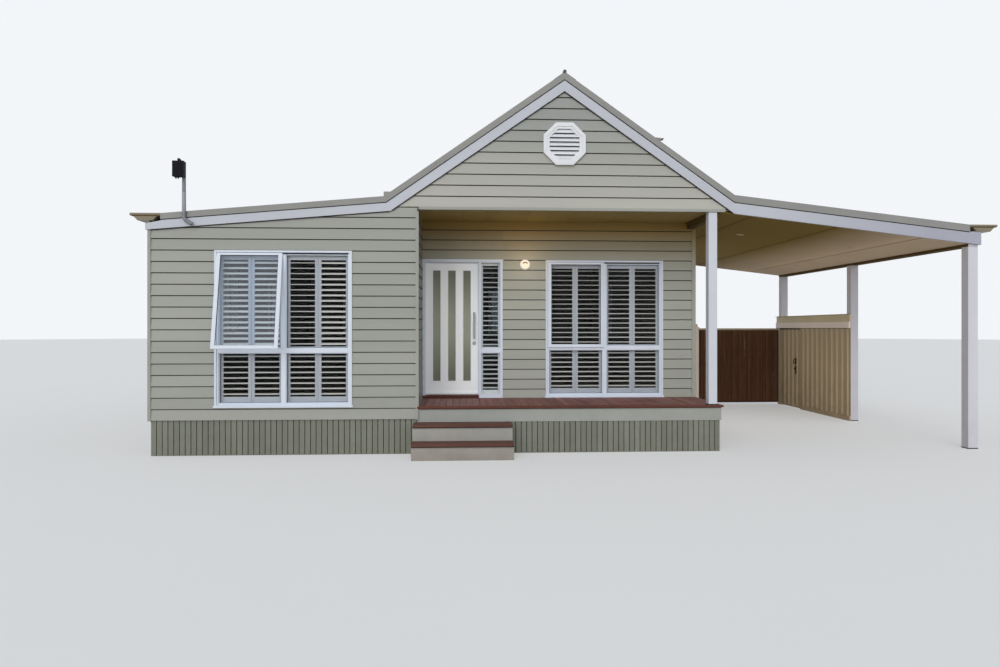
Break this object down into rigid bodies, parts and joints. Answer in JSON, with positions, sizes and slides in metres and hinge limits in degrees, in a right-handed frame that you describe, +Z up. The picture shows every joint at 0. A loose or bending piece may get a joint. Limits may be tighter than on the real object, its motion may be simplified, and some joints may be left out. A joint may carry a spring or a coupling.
{
  "type": "beach house",
  "caption": "Single storey weatherboard beach house with a gabled front, a raised timber porch, shuttered windows and a lean-to carport",
  "frame": {"origin": "middle of the whole outline at ground level", "axes": "+X to the right along the front, from the left wing to the carport; +Y from the front to the back; +Z up"},
  "size_m": [11.772, 9.8964, 5.1758],
  "materials": {
    "cladding": "satin painted timber boards",
    "floor_timber": "sealed timber",
    "stump_timber": "rough sawn",
    "base_paint": "satin paint",
    "decking": "oiled hardwood",
    "cream_lining": "matt paint",
    "white_paint": "semi-gloss paint",
    "light_cover": "matt",
    "roof_metal": "satin",
    "cream_metal": "satin",
    "cream_paint": "satin paint",
    "black_metal": "satin",
    "brush_panel": "packed brush stems",
    "hinge_metal": "satin",
    "glass": "clear",
    "shutter_white": "satin",
    "frosted_glass": "frosted",
    "handle_metal": "satin",
    "galvanised": "dull galvanised",
    "black_plastic": "matt"
  },
  "bodies": {
    "house": {"wing_front_wall": "cladding", "left_side_wall": "cladding", "porch_return_wall": "cladding", "porch_wall": "cladding", "wall_over_door": "cladding", "right_side_wall": "cladding", "back_wall": "cladding", "gable_wall": "cladding", "floor": "floor_timber", "stumps": "stump_timber", "front_slats": "base_paint", "side_slats": "base_paint", "porch_deck": "decking", "deck_fascia": "base_paint", "step_treads": "decking", "step_risers": "base_paint", "porch_ceiling": "cream_lining", "porch_post": "white_paint", "porch_light": "light_cover", "main_roof_left": "roof_metal", "main_roof_right": "roof_metal", "wing_roof": "roof_metal", "carport_roof": "roof_metal", "ridge_cap": "roof_metal", "front_barge_board": "white_paint", "back_barge_board": "white_paint", "verge_capping": "roof_metal", "gutters": "cream_metal", "carport_ceiling": "cream_lining", "carport_beams": "cream_paint", "carport_posts": "cream_paint", "side_screen": "cream_metal", "rear_screen": "brush_panel", "hinge_plates": "hinge_metal", "window_frames": "white_paint", "window_glass": "glass", "window_shutters": "shutter_white", "door_frame": "white_paint", "gable_vent": "white_paint", "service_mast": "galvanised", "mast_box": "black_plastic"},
    "door_leaf": {"front_door": "white_paint", "door_glass": "frosted_glass", "door_handle": "handle_metal"},
    "side_gate_leaf": {"side_gate": "cream_metal", "gate_latch": "black_metal"},
    "rear_gate_leaf": {"rear_gate": "brush_panel"}
  },
  "joints": [
    {"name": "front_door_hinge", "type": "hinge", "parent": "house", "child": "door_leaf", "pos_m": [-2.1075, -3.14675, 1.66], "axis": [0, 0, 1], "range_deg": [0, 90]},
    {"name": "side_gate_hinge", "type": "hinge", "parent": "house", "child": "side_gate_leaf", "pos_m": [5.504, 1.44825, 0.85], "axis": [0, 0, 1], "range_deg": [0, 90]},
    {"name": "rear_gate_hinge", "type": "hinge", "parent": "house", "child": "rear_gate_leaf", "pos_m": [3.659, 1.55825, 0.85], "axis": [0, 0, 1], "range_deg": [0, 90]}
  ]
}
